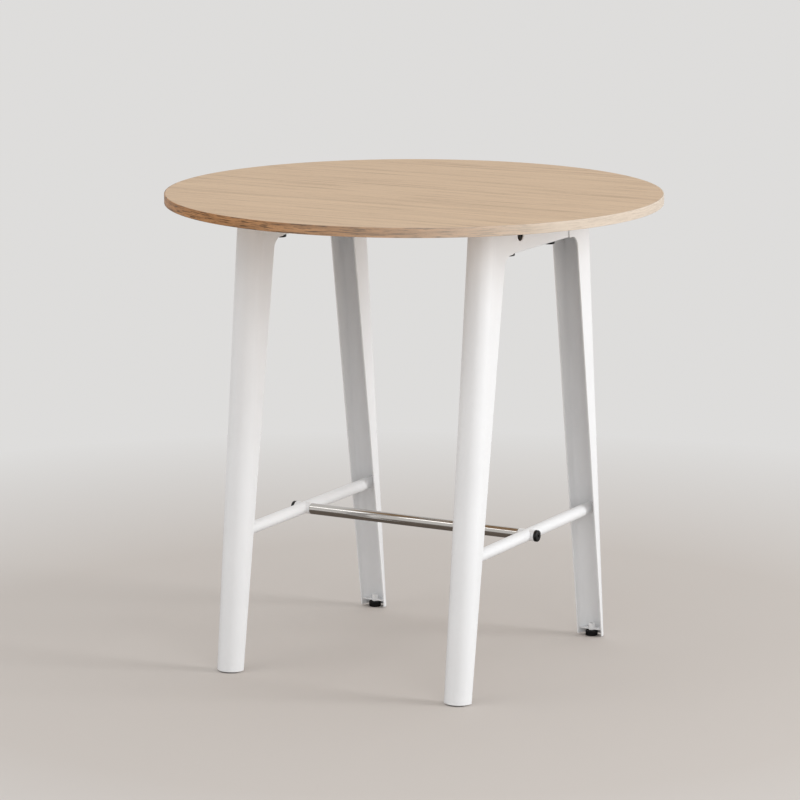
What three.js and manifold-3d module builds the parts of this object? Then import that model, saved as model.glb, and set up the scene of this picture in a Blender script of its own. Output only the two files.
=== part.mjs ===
// Standing meeting table: a round oak top on two steel trestles joined by a stainless cross bar.
// Millimetres, +Z up. The origin is on the floor under the middle of the top.
// +X runs along the cross bar to the right trestle, +Y from the front legs to the rear legs.

import * as THREE from 'three';
import { mergeVertices } from 'three/addons/utils/BufferGeometryUtils.js';
import Module from 'manifold-3d';

const wasm = await Module();
wasm.setup();

// Table top
const TABLE_HEIGHT = 1050;
const TOP_DIAMETER = 1100;
const TOP_THICKNESS = 21;
const VENEER_THICKNESS = 1;
const EDGE_BAND_THICKNESS = 2;
const RIM_CHAMFER = 1;

// Trestles
const TRESTLE_SPACING = 569;
const SHEET = 3;
const LEG_WIDTH = 63;
const LEG_BACK_AT_FLOOR = 356;
const LEG_BACK_LEAN = 0.1036;
const LEG_MOUTH_AT_FLOOR = 325.5;
const LEG_MOUTH_LEAN = 0.1583;
const LEG_CLEAR_OF_FLOOR = 3;
const APRON_DEPTH = 78;
const ARM_END = 136;
const ARM_CORNER_RADIUS = 5;
const ARM_FILLET_RADIUS = 28;
const RAIL_LENGTH = 330;
const RAIL_BEND_RADIUS = 4;
const ACCESS_HOLE_DIAMETER = 30;

// Stretchers and cross bar
const STRETCHER_DIAMETER = 27;
const STRETCHER_HEIGHT = 305;
const BAR_DIAMETER = 25;
const TUBE_WALL = 2;
const COLLAR_REACH = 20;
const BAR_PLUG_LENGTH = 25;
const BAR_PLUG_RECESS = 0.5;
const BAR_SCREW_LENGTH = 58;

// Screws
const SCREW_DIAMETER = 8;
const SCREW_HOLE_DIAMETER = 9;
const CAP_DIAMETER = 26;
const CAP_THICKNESS = 7.5;
const CAP_EDGE_RADIUS = 2.5;
const SOCKET_ACROSS_FLATS = 6;
const SOCKET_DEPTH = 4;
const WASHER_DIAMETER = 24;
const WASHER_THICKNESS = 2;
const TOP_BOLT_OFFSET = 97;
const TOP_BOLT_LENGTH = 90;
const INSERT_DIAMETER = 12;
const INSERT_LENGTH = 14;

// Levelling feet
const FOOT_AXIS = 334;
const FOOT_PLATE_HEIGHT = 15;
const FOOT_PLATE_FRONT = 329;
const NUT_ACROSS_FLATS = 13;
const NUT_HEIGHT = 13;
const NUT_LENGTH = 16;
const STUD_FOOT_HEIGHT = 3;
const STUD_FLANGE_DIAMETER = 12;
const STUD_FLANGE_THICKNESS = 2.5;
const GLIDE_DIAMETER = 28;
const GLIDE_EDGE_RADIUS = 2;

// Gaps left between pieces that touch, and steps on round shapes
const GAP = 0.3;
const RIM_SEGMENTS = 96;
const LEG_SEGMENTS = 24;
const ROUND_SEGMENTS = 20;
const FILLET_SEGMENTS = 12;
const BEND_SEGMENTS = 3;

// Sizes worked out from the ones above
const TOP_UNDERSIDE = TABLE_HEIGHT - TOP_THICKNESS;
const CORE_RADIUS = TOP_DIAMETER / 2 - EDGE_BAND_THICKNESS - GAP;
const APRON_BOTTOM = TOP_UNDERSIDE - APRON_DEPTH;
const TRESTLE_X = TRESTLE_SPACING / 2;
const LEG_RADIUS = LEG_WIDTH / 2;
const LEG_CENTRE_AT_FLOOR = LEG_BACK_AT_FLOOR - LEG_RADIUS;
const CHANNEL_RADIUS = LEG_RADIUS - SHEET;
const BORE_DIAMETER = SCREW_DIAMETER + 2 * GAP;
const BAR_BORE_DIAMETER = BAR_DIAMETER - 2 * TUBE_WALL;
const BAR_HALF_LENGTH = TRESTLE_X - COLLAR_REACH - GAP;
const WASHER_TOP = APRON_BOTTOM - GAP;
const BOLT_HEAD_TOP = WASHER_TOP - WASHER_THICKNESS - GAP;
const GLIDE_TOP = NUT_HEIGHT - GAP;
const STUD_BOTTOM = STUD_FOOT_HEIGHT + GAP;
const STUD_TOP = NUT_HEIGHT + NUT_LENGTH - GAP;
const FLANGE_TOP = STUD_BOTTOM + STUD_FLANGE_THICKNESS;
const QUARTER_TURN = Math.PI / 2;
const HALF_TURN = Math.PI;

// Materials
const oak = new THREE.MeshStandardMaterial({ color: 0xcbb299, roughness: 0.55, metalness: 0 });
const oakEdge = new THREE.MeshStandardMaterial({ color: 0xc0a080, roughness: 0.6, metalness: 0 });
const board = new THREE.MeshStandardMaterial({ color: 0xb8956b, roughness: 0.8, metalness: 0 });
const whiteCoat = new THREE.MeshStandardMaterial({ color: 0xf0efee, roughness: 0.45, metalness: 0 });
const stainless = new THREE.MeshStandardMaterial({ color: 0xc4c2be, roughness: 0.22, metalness: 1 });
const zincSteel = new THREE.MeshStandardMaterial({ color: 0xaaa9a5, roughness: 0.4, metalness: 1 });
const blackScrew = new THREE.MeshStandardMaterial({ color: 0x1c1c1c, roughness: 0.5, metalness: 0.6 });
const blackPlastic = new THREE.MeshStandardMaterial({ color: 0x171717, roughness: 0.6, metalness: 0 });

// Joining and cutting closed shapes

function toSolid(geometry) {
  const bare = geometry.clone();
  bare.deleteAttribute('normal');
  bare.deleteAttribute('uv');
  const merged = mergeVertices(bare, 1e-4);
  const vertProperties = new Float32Array(merged.attributes.position.array);
  const triVerts = new Uint32Array(merged.index.array);
  return new wasm.Manifold(new wasm.Mesh({ numProp: 3, vertProperties, triVerts }));
}

function toGeometry(solid) {
  const mesh = solid.getMesh();
  const geometry = new THREE.BufferGeometry();
  geometry.setAttribute('position', new THREE.BufferAttribute(mesh.vertProperties, 3));
  geometry.setIndex(new THREE.BufferAttribute(mesh.triVerts, 1));
  geometry.computeVertexNormals();
  return geometry;
}

function cut(geometry, ...tools) {
  const solid = tools.reduce((left, tool) => left.subtract(toSolid(tool)), toSolid(geometry));
  return toGeometry(solid);
}

function common(geometry, ...others) {
  const solid = others.reduce((left, other) => left.intersect(toSolid(other)), toSolid(geometry));
  return toGeometry(solid);
}

// Basic shapes. Round ones are made along +Y and turned by alongX or alongZ.

function alongX(geometry) {
  return geometry.rotateZ(-QUARTER_TURN);
}

function alongZ(geometry) {
  return geometry.rotateX(QUARTER_TURN);
}

function rod(diameter, length, segments = ROUND_SEGMENTS) {
  return new THREE.CylinderGeometry(diameter / 2, diameter / 2, length, segments);
}

function turned(points, segments = ROUND_SEGMENTS) {
  return new THREE.LatheGeometry(points.map(([x, y]) => new THREE.Vector2(x, y)), segments);
}

function ring(outerDiameter, innerDiameter, length) {
  const outer = outerDiameter / 2;
  const inner = innerDiameter / 2;
  const half = length / 2;
  return turned([[inner, -half], [outer, -half], [outer, half], [inner, half], [inner, -half]]);
}

// A hexagonal bar along Z with two of its flats square to Y
function hexBar(acrossFlats, length) {
  const radius = acrossFlats / Math.sqrt(3);
  return alongZ(new THREE.CylinderGeometry(radius, radius, length, 6).rotateY(HALF_TURN / 6));
}

function arc(centreX, centreY, radius, from, to, steps) {
  return Array.from({ length: steps + 1 }, (_, i) => {
    const angle = from + ((to - from) * i) / steps;
    return [centreX + radius * Math.cos(angle), centreY + radius * Math.sin(angle)];
  });
}

function extrudeOutline(points, depth) {
  const shape = new THREE.Shape(points.map(([x, y]) => new THREE.Vector2(x, y)));
  return new THREE.ExtrudeGeometry(shape, { depth, bevelEnabled: false });
}

// An outline in plan, raised from the floor to the top and leaning inwards as a leg does
function leaningPrism(outline) {
  const lean = new THREE.Matrix4().makeShear(0, 0, 0, 0, 0, -LEG_BACK_LEAN);
  return extrudeOutline(outline, TOP_UNDERSIDE).applyMatrix4(lean);
}

// Half-round outline of a leg's back in plan, with straight sides down to frontY
function legOutline(radius, frontY) {
  const back = arc(0, LEG_CENTRE_AT_FLOOR, radius, 0, HALF_TURN, LEG_SEGMENTS);
  return [[radius, frontY], ...back, [-radius, frontY]];
}

// The space inside a leg's channel, a gap clear of its walls and reaching past the table's middle
function channelSpace() {
  return leaningPrism(legOutline(CHANNEL_RADIUS - GAP, -TOP_DIAMETER / 2));
}

// Table top

function discGeometry(bottom, thickness) {
  const disc = alongZ(rod(2 * CORE_RADIUS, thickness, RIM_SEGMENTS));
  return disc.translate(0, 0, bottom + thickness / 2);
}

function edgeBandGeometry() {
  const outer = TOP_DIAMETER / 2;
  const inner = outer - EDGE_BAND_THICKNESS;
  const shoulder = outer - RIM_CHAMFER;
  const half = TOP_THICKNESS / 2;
  const profile = [
    [inner, -half],
    [shoulder, -half],
    [outer, RIM_CHAMFER - half],
    [outer, half - RIM_CHAMFER],
    [shoulder, half],
    [inner, half],
    [inner, -half],
  ];
  return alongZ(turned(profile, RIM_SEGMENTS)).translate(0, 0, TABLE_HEIGHT - half);
}

// A black cap screw along +Y: its head stands on y = 0 and its shank runs down from there
function capScrewGeometry(shankLength) {
  const cap = CAP_DIAMETER / 2;
  const shank = SCREW_DIAMETER / 2;
  const roundR = cap - CAP_EDGE_RADIUS;
  const roundY = CAP_THICKNESS - CAP_EDGE_RADIUS;
  const profile = [
    [0, -shankLength],
    [shank, -shankLength],
    [shank, 0],
    [cap, 0],
    ...arc(roundR, roundY, CAP_EDGE_RADIUS, 0, QUARTER_TURN, BEND_SEGMENTS),
    [0, CAP_THICKNESS],
  ];
  const socketRadius = SOCKET_ACROSS_FLATS / Math.sqrt(3);
  const socket = new THREE.CylinderGeometry(socketRadius, socketRadius, 2 * SOCKET_DEPTH, 6);
  return cut(turned(profile), socket.translate(0, CAP_THICKNESS, 0));
}

// Pieces of one trestle, made in the plane x = 0

function railGeometry() {
  const halfWidth = CHANNEL_RADIUS - GAP;
  const bend = RAIL_BEND_RADIUS;
  const innerBend = RAIL_BEND_RADIUS - SHEET;
  const bendX = halfWidth - bend;
  const bendZ = APRON_BOTTOM + bend;
  const section = [
    [-halfWidth, TOP_UNDERSIDE],
    ...arc(-bendX, bendZ, bend, 2 * QUARTER_TURN, 3 * QUARTER_TURN, BEND_SEGMENTS),
    ...arc(bendX, bendZ, bend, 3 * QUARTER_TURN, 4 * QUARTER_TURN, BEND_SEGMENTS),
    [halfWidth, TOP_UNDERSIDE],
    [halfWidth - SHEET, TOP_UNDERSIDE],
    ...arc(bendX, bendZ, innerBend, 4 * QUARTER_TURN, 3 * QUARTER_TURN, BEND_SEGMENTS),
    ...arc(-bendX, bendZ, innerBend, 3 * QUARTER_TURN, 2 * QUARTER_TURN, BEND_SEGMENTS),
    [-halfWidth + SHEET, TOP_UNDERSIDE],
  ];
  const channel = extrudeOutline(section, RAIL_LENGTH).rotateX(QUARTER_TURN).translate(0, RAIL_LENGTH / 2, 0);
  const holes = [-TOP_BOLT_OFFSET, TOP_BOLT_OFFSET].flatMap((y) => [
    alongX(rod(ACCESS_HOLE_DIAMETER, 2 * LEG_WIDTH)).translate(0, y, APRON_BOTTOM + APRON_DEPTH / 2),
    alongZ(rod(SCREW_HOLE_DIAMETER, APRON_DEPTH)).translate(0, y, APRON_BOTTOM),
  ]);
  return cut(channel, ...holes);
}

// A tube between two legs, its ends shaped to the round inside of their backs
function stretcherGeometry() {
  const tube = ring(STRETCHER_DIAMETER, STRETCHER_DIAMETER - 2 * TUBE_WALL, TOP_DIAMETER);
  tube.translate(0, 0, STRETCHER_HEIGHT);
  const fitted = common(tube, channelSpace(), channelSpace().rotateZ(HALF_TURN));
  const crossHole = alongX(rod(SCREW_HOLE_DIAMETER, 2 * STRETCHER_DIAMETER));
  return cut(fitted, crossHole.translate(0, 0, STRETCHER_HEIGHT));
}

// A short collar on the +X side of the stretcher, shaped to sit on the tube
function collarGeometry() {
  const collar = alongX(ring(BAR_DIAMETER, SCREW_HOLE_DIAMETER, COLLAR_REACH));
  collar.translate(COLLAR_REACH / 2, 0, STRETCHER_HEIGHT);
  const seat = rod(STRETCHER_DIAMETER + 2 * GAP, 2 * STRETCHER_DIAMETER);
  return cut(collar, seat.translate(0, 0, STRETCHER_HEIGHT));
}

// Pieces of one corner, made for a rear leg of a trestle in the plane x = 0

function legMouth(height) {
  return LEG_MOUTH_AT_FLOOR - LEG_MOUTH_LEAN * height;
}

function legGeometry() {
  const outer = legOutline(LEG_RADIUS, 0);
  const inner = legOutline(CHANNEL_RADIUS, 0).reverse();
  const channel = leaningPrism([...outer, ...inner]);

  const mouthAngle = Math.atan(LEG_MOUTH_LEAN);
  const filletZ = APRON_BOTTOM - ARM_FILLET_RADIUS;
  const filletY = legMouth(filletZ) - ARM_FILLET_RADIUS / Math.cos(mouthAngle);
  const cornerY = ARM_END + ARM_CORNER_RADIUS;
  const cornerZ = APRON_BOTTOM + ARM_CORNER_RADIUS;
  const side = [
    [TOP_DIAMETER / 2, LEG_CLEAR_OF_FLOOR],
    [TOP_DIAMETER / 2, TOP_UNDERSIDE - GAP],
    [ARM_END, TOP_UNDERSIDE - GAP],
    ...arc(cornerY, cornerZ, ARM_CORNER_RADIUS, 2 * QUARTER_TURN, 3 * QUARTER_TURN, BEND_SEGMENTS),
    ...arc(filletY, filletZ, ARM_FILLET_RADIUS, QUARTER_TURN, mouthAngle, FILLET_SEGMENTS),
    [legMouth(LEG_CLEAR_OF_FLOOR), LEG_CLEAR_OF_FLOOR],
  ];
  const sideView = new THREE.Matrix4().makeBasis(
    new THREE.Vector3(0, 1, 0),
    new THREE.Vector3(0, 0, 1),
    new THREE.Vector3(1, 0, 0),
  );
  const sideSlab = extrudeOutline(side, 2 * LEG_WIDTH).applyMatrix4(sideView);
  return common(channel, sideSlab.translate(-LEG_WIDTH, 0, 0));
}

function footPlateGeometry() {
  const depth = LEG_BACK_AT_FLOOR - FOOT_PLATE_FRONT;
  const slab = new THREE.BoxGeometry(LEG_WIDTH, depth, SHEET);
  slab.translate(0, FOOT_PLATE_FRONT + depth / 2, FOOT_PLATE_HEIGHT + SHEET / 2);
  const nutNotch = hexBar(NUT_ACROSS_FLATS + 2 * GAP, NUT_LENGTH);
  nutNotch.translate(0, FOOT_AXIS, FOOT_PLATE_HEIGHT);
  return cut(common(slab, channelSpace()), nutNotch);
}

function footNutGeometry() {
  const bore = alongZ(rod(BORE_DIAMETER, 2 * NUT_LENGTH));
  const nut = cut(hexBar(NUT_ACROSS_FLATS, NUT_LENGTH), bore);
  return nut.translate(0, FOOT_AXIS, NUT_HEIGHT + NUT_LENGTH / 2);
}

// A stud whose foot flange is held inside the glide
function footStudGeometry() {
  const shank = SCREW_DIAMETER / 2;
  const flange = STUD_FLANGE_DIAMETER / 2;
  const profile = [
    [0, STUD_BOTTOM],
    [flange, STUD_BOTTOM],
    [flange, FLANGE_TOP],
    [shank, FLANGE_TOP],
    [shank, STUD_TOP],
    [0, STUD_TOP],
  ];
  return turned(profile);
}

function glideGeometry() {
  const bore = BORE_DIAMETER / 2;
  const pocket = STUD_FLANGE_DIAMETER / 2 + GAP;
  const roundR = GLIDE_DIAMETER / 2 - GLIDE_EDGE_RADIUS;
  const roundZ = GLIDE_TOP - GLIDE_EDGE_RADIUS;
  const profile = [
    [0, 0],
    ...arc(roundR, GLIDE_EDGE_RADIUS, GLIDE_EDGE_RADIUS, -QUARTER_TURN, 0, BEND_SEGMENTS),
    ...arc(roundR, roundZ, GLIDE_EDGE_RADIUS, 0, QUARTER_TURN, BEND_SEGMENTS),
    [bore, GLIDE_TOP],
    [bore, FLANGE_TOP + GAP],
    [pocket, FLANGE_TOP + GAP],
    [pocket, STUD_FOOT_HEIGHT],
    [0, STUD_FOOT_HEIGHT],
  ];
  return turned(profile);
}

// Profiles of the foot are turned about +Y, so they are stood up on the foot's axis
function onFootAxis(geometry) {
  return alongZ(geometry).translate(0, FOOT_AXIS, 0);
}

// Assembly

const SIDES = [{ name: 'left', x: -TRESTLE_X }, { name: 'right', x: TRESTLE_X }];
const ENDS = [{ name: 'front', turn: HALF_TURN }, { name: 'rear', turn: 0 }];
const BOLT_PLACES = SIDES.flatMap((side) => [
  { name: `${side.name}_front`, x: side.x, y: -TOP_BOLT_OFFSET },
  { name: `${side.name}_rear`, x: side.x, y: TOP_BOLT_OFFSET },
]);

function add(group, name, geometry, material) {
  const mesh = new THREE.Mesh(geometry, material);
  mesh.name = name;
  group.add(mesh);
  return mesh;
}

function tableTop() {
  const top = new THREE.Group();
  const coreBottom = TOP_UNDERSIDE + VENEER_THICKNESS;
  const coreTop = TABLE_HEIGHT - VENEER_THICKNESS;
  const insertBottom = TOP_UNDERSIDE + GAP;
  const pocketDepth = INSERT_LENGTH + 2 * GAP;
  const pockets = BOLT_PLACES.map(({ x, y }) => {
    const pocket = alongZ(rod(INSERT_DIAMETER + 2 * GAP, 2 * pocketDepth));
    return pocket.translate(x, y, TOP_UNDERSIDE);
  });
  add(top, 'tabletop_core', cut(discGeometry(coreBottom, coreTop - coreBottom), ...pockets), board);
  add(top, 'top_veneer', discGeometry(coreTop, VENEER_THICKNESS), oak);
  add(top, 'bottom_veneer', cut(discGeometry(TOP_UNDERSIDE, VENEER_THICKNESS), ...pockets), oak);
  add(top, 'edge_band', edgeBandGeometry(), oakEdge);
  for (const { name, x, y } of BOLT_PLACES) {
    const insert = alongZ(ring(INSERT_DIAMETER, BORE_DIAMETER, INSERT_LENGTH));
    const insertMesh = add(top, `threaded_insert_${name}`, insert, zincSteel);
    insertMesh.position.set(x, y, insertBottom + INSERT_LENGTH / 2);
  }
  return top;
}

function topFixings() {
  const fixings = new THREE.Group();
  for (const { name, x, y } of BOLT_PLACES) {
    const washer = alongZ(ring(WASHER_DIAMETER, SCREW_HOLE_DIAMETER, WASHER_THICKNESS));
    const washerMesh = add(fixings, `top_bolt_washer_${name}`, washer, blackScrew);
    washerMesh.position.set(x, y, WASHER_TOP - WASHER_THICKNESS / 2);
    const bolt = capScrewGeometry(TOP_BOLT_LENGTH).rotateX(-QUARTER_TURN);
    add(fixings, `top_bolt_${name}`, bolt, blackScrew).position.set(x, y, BOLT_HEAD_TOP);
  }
  return fixings;
}

function corner(place, turn) {
  const group = new THREE.Group();
  group.rotation.z = turn;
  add(group, `leg_${place}`, legGeometry(), whiteCoat);
  add(group, `foot_plate_${place}`, footPlateGeometry(), whiteCoat);
  add(group, `foot_nut_${place}`, footNutGeometry(), whiteCoat);
  add(group, `foot_stud_${place}`, onFootAxis(footStudGeometry()), zincSteel);
  add(group, `glide_${place}`, onFootAxis(glideGeometry()), blackPlastic);
  return group;
}

// Collars and screw that hold one end of the cross bar, made with +X away from the table's middle
function barEnd(side) {
  const group = new THREE.Group();
  group.rotation.z = side.x > 0 ? 0 : HALF_TURN;
  add(group, `collar_${side.name}_outer`, collarGeometry(), whiteCoat);
  add(group, `collar_${side.name}_inner`, collarGeometry().rotateZ(HALF_TURN), whiteCoat);
  const screw = add(group, `bar_screw_${side.name}`, alongX(capScrewGeometry(BAR_SCREW_LENGTH)), blackScrew);
  screw.position.set(COLLAR_REACH + GAP, 0, STRETCHER_HEIGHT);
  return group;
}

function trestle(side) {
  const group = new THREE.Group();
  group.position.x = side.x;
  for (const end of ENDS) {
    group.add(corner(`${side.name}_${end.name}`, end.turn));
  }
  add(group, `rail_${side.name}`, railGeometry(), whiteCoat);
  add(group, `stretcher_${side.name}`, stretcherGeometry(), whiteCoat);
  group.add(barEnd(side));
  return group;
}

function crossBar() {
  const group = new THREE.Group();
  group.position.z = STRETCHER_HEIGHT;
  add(group, 'cross_bar', alongX(ring(BAR_DIAMETER, BAR_BORE_DIAMETER, 2 * BAR_HALF_LENGTH)), stainless);
  for (const side of SIDES) {
    const plug = alongX(ring(BAR_BORE_DIAMETER - 2 * GAP, BORE_DIAMETER, BAR_PLUG_LENGTH));
    const plugX = BAR_HALF_LENGTH - BAR_PLUG_RECESS - BAR_PLUG_LENGTH / 2;
    add(group, `bar_plug_${side.name}`, plug, zincSteel).position.x = Math.sign(side.x) * plugX;
  }
  return group;
}

const table = new THREE.Group();
table.add(tableTop(), topFixings(), ...SIDES.map(trestle), crossBar());

export default table;
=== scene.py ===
"""Standing meeting table: finished meshes, materials and stage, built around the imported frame."""

import math

import bmesh
import bpy
from bpy.props import FloatProperty, FloatVectorProperty, IntProperty, PointerProperty
from mathutils import Matrix, Vector


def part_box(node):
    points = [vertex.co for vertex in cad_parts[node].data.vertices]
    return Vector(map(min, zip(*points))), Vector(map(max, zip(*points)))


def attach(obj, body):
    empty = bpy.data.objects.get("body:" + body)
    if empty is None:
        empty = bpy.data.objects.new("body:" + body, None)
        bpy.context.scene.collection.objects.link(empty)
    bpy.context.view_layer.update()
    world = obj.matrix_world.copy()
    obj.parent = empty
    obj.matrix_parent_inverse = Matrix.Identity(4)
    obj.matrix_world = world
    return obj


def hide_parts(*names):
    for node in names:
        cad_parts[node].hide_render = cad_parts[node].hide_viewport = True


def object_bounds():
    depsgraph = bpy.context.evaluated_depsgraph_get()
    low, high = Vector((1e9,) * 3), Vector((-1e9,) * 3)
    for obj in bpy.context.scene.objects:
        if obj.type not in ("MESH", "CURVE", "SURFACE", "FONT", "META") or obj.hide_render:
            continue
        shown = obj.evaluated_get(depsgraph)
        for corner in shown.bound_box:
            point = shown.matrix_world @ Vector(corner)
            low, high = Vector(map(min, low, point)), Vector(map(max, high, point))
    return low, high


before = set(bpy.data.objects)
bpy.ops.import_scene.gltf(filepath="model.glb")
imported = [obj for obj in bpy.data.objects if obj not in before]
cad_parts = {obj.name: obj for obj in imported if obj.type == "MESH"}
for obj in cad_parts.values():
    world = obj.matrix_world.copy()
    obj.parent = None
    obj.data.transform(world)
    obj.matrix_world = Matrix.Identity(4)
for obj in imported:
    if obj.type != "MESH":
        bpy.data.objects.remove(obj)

bl_info = {
    "name": "Standing meeting table",
    "version": (1, 0, 0),
    "blender": (4, 5, 0),
    "location": "3D View > Sidebar > Table",
    "description": "Round oak table top on two white steel trestles with levelling feet",
    "category": "Object",
}

CAD_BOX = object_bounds()

# Which way each pair of legs stands along X, and each leg of a pair along Y
SIDES = {"left": -1, "right": 1}
ENDS = {"front": -1, "rear": 1}
CORNERS = [(side, end) for side in SIDES for end in ENDS]

# Boxes of the nodes at the right rear, which give the sizes of all their like
TOP_LOW, TOP_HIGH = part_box("top_veneer")
BAND_LOW, BAND_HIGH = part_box("edge_band")
BACKING_LOW, BACKING_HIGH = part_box("bottom_veneer")
LEG_LOW, LEG_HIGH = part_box("leg_right_rear")
RAIL_LOW, RAIL_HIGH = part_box("rail_right")
STRETCHER_LOW, STRETCHER_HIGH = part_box("stretcher_right")
OUTER_COLLAR_LOW, OUTER_COLLAR_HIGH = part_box("collar_right_outer")
BAR_LOW, BAR_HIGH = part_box("cross_bar")
BAR_SCREW_LOW, BAR_SCREW_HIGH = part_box("bar_screw_right")
BOLT_LOW, BOLT_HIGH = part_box("top_bolt_right_rear")
WASHER_LOW, WASHER_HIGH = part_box("top_bolt_washer_right_rear")
PLATE_LOW, PLATE_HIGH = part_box("foot_plate_right_rear")
NUT_LOW, NUT_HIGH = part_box("foot_nut_right_rear")
STUD_LOW, STUD_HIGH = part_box("foot_stud_right_rear")
GLIDE_LOW, GLIDE_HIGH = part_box("glide_right_rear")

TRESTLE_X = (LEG_LOW.x + LEG_HIGH.x) / 2
LEG_RADIUS = (LEG_HIGH.x - LEG_LOW.x) / 2
BAR_AXIS = Vector((0, 0, (BAR_LOW.z + BAR_HIGH.z) / 2))
BOLT_Y = (BOLT_LOW.y + BOLT_HIGH.y) / 2
FOOT_Y = (GLIDE_LOW.y + GLIDE_HIGH.y) / 2

# How much finer the figure of the narrow edge band is than the face's, along and across the grain
RIM_FIGURE = (7.0, 4.4, 1.0)

# Faces that meet at less than this are shaded as one round surface
SMOOTH_ANGLE = math.radians(35)
MERGE_DISTANCE = 1e-6


def length(name, description, default):
    """A property that holds a size in metres."""
    return FloatProperty(name=name, description=description, default=default, unit="LENGTH", precision=5)


def colour(name, description, default):
    """A property that holds a linear colour."""
    return FloatVectorProperty(
        name=name, description=description, default=default, subtype="COLOR", size=3, min=0, max=1)


class TopSettings(bpy.types.PropertyGroup):
    """Sizes of the round top."""

    arris: length("Arris", "Radius of the eased edges of the rim", 0.001)
    seam: length("Seam", "Hairline between the face veneer and the edge band", 0.00008)
    segments: IntProperty(name="Segments", description="Straight pieces around the rim", default=256, min=32)


class SteelSettings(bpy.types.PropertyGroup):
    """Sizes of the folded sheet and the tubes."""

    sheet: length("Sheet", "Thickness of the folded steel", 0.003)
    sheet_arris: length("Sheet arris", "Rounding of the cut edges under the coat", 0.0006)
    back_lean: FloatProperty(name="Back lean", description="Slope of the leg's round back", default=0.1036)
    mouth_lean: FloatProperty(name="Mouth lean", description="Slope of the leg's open side", default=0.1583)
    mouth_at_floor: length("Mouth at floor", "Distance of the open side from the middle, at the floor", 0.3255)
    arm_fillet: length("Arm fillet", "Radius between the leg and its arm under the top", 0.028)
    arm_corner: length("Arm corner", "Radius of the arm's lower corner", 0.005)
    rail_bend: length("Rail bend", "Outer radius of the rail's folds", 0.004)
    access_hole: length("Access hole", "Radius of the round holes in the rail's walls", 0.015)
    screw_hole: length("Screw hole", "Radius of the holes that screws pass through", 0.0045)
    tube_wall: length("Tube wall", "Wall of the stretchers, collars and cross bar", 0.002)
    round_steps: IntProperty(name="Round steps", description="Pieces in a quarter of a tube", default=20, min=4)


class ScrewSettings(bpy.types.PropertyGroup):
    """Sizes of the screws, nuts and feet."""

    head_height: length("Head height", "Height of the flat round screw heads", 0.0075)
    head_edge: length("Head edge", "Radius of the screw heads' rim", 0.0025)
    shank: length("Shank", "Radius of the screws", 0.004)
    socket_flats: length("Socket", "Width across flats of the hex sockets", 0.006)
    socket_depth: length("Socket depth", "Depth of the hex sockets", 0.004)
    thread_pitch: length("Thread pitch", "Rise of the foot's thread in one turn", 0.00125)
    thread_depth: length("Thread depth", "Depth of the foot's thread", 0.00065)
    nut_edge: length("Nut edge", "Rounding of the nuts' and screws' edges", 0.0008)
    play: length("Play", "Room between a screw and its bore", 0.0003)
    stud_flange: length("Stud flange", "Thickness of the flange that holds the stud in its glide", 0.0025)
    glide_edge: length("Glide edge", "Radius of the glide's rims", 0.002)


class FinishSettings(bpy.types.PropertyGroup):
    """Colours of the finishes."""

    oak_light: colour("Oak, light", "Pale wood between the grain lines", (0.66, 0.475, 0.308))
    oak_dark: colour("Oak, dark", "Grain lines of the face", (0.33, 0.205, 0.118))
    oak_pore: colour("Oak, pores", "Open pores", (0.20, 0.12, 0.065))
    # The edge band's two grounds are oak tone with painted light and shade: the pale one is painted where the rim
    # faces the key light, the dark one painted shade where it faces away, darkest at the angle below.
    edge_wood_painted_lit: colour("Edge, light", "Ground of the edge band where it is palest", (0.72, 0.617, 0.509))
    edge_wood_painted_shade: colour("Edge, dark", "Ground of the edge band where it is darkest", (0.62, 0.306, 0.126))
    edge_painted_shade_angle: FloatProperty(
        name="Edge, darkest", description="Where the edge band is darkest, from the front towards the right",
        default=math.radians(-30), subtype="ANGLE")
    coat: colour("White coat", "Powder coat on the steel", (0.855, 0.862, 0.872))
    stainless: colour("Stainless", "Tone of the polished bar", (0.62, 0.60, 0.575))
    zinc: colour("Zinc", "Tone of the plated screws and inserts", (0.56, 0.56, 0.55))
    black_coat: colour("Black coat", "Coat of the black screws", (0.006, 0.006, 0.0065))
    black_plastic: colour("Black plastic", "Moulded glides", (0.007, 0.007, 0.0075))
    board: colour("Board", "Raw core of the top", (0.46, 0.33, 0.20))


class StageSettings(bpy.types.PropertyGroup):
    """Camera, light and floor."""

    lens: FloatProperty(name="Lens", description="Focal length on a 36 mm sensor", default=168.64)
    camera_place: FloatVectorProperty(
        name="Camera", description="Camera position", default=(3.8917, -7.2106, 2.1873), subtype="TRANSLATION")
    camera_tilt: FloatProperty(
        name="Tilt", description="Camera tilt from straight down", default=math.radians(78.91), subtype="ANGLE")
    camera_turn: FloatProperty(
        name="Turn", description="Camera turn about the vertical", default=math.radians(28.573), subtype="ANGLE")
    floor: colour("Floor", "Floor near the table", (0.575, 0.532, 0.496))
    # Painted reflection: a dark tone that metal mirrors from the floor near the table, in place of the floor's own
    # colour.
    floor_painted_reflection: colour("Floor in metal", "Tone that metal mirrors under the table", (0.16, 0.132, 0.11))
    wall: colour("Backdrop", "Plain tone behind the table", (0.73, 0.722, 0.712))
    ambient: FloatProperty(name="Ambient", description="Even light from all round", default=0.81)
    key: FloatProperty(name="Key light", description="Power of the window-like light", default=225, unit="POWER")
    key_tint: colour("Key tint", "Colour of the window-like light", (0.97, 0.985, 1.0))
    front: FloatProperty(name="Front light", description="Power of the left panel", default=11, unit="POWER")
    fill: FloatProperty(name="Fill light", description="Power of the right panel", default=36, unit="POWER")


class TableSettings(bpy.types.PropertyGroup):
    """All settings of the table."""

    top: PointerProperty(type=TopSettings)
    steel: PointerProperty(type=SteelSettings)
    screw: PointerProperty(type=ScrewSettings)
    finish: PointerProperty(type=FinishSettings)
    stage: PointerProperty(type=StageSettings)


def settings():
    """The table's settings in the open scene."""
    return bpy.context.scene.standing_table


# Mesh helpers


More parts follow.
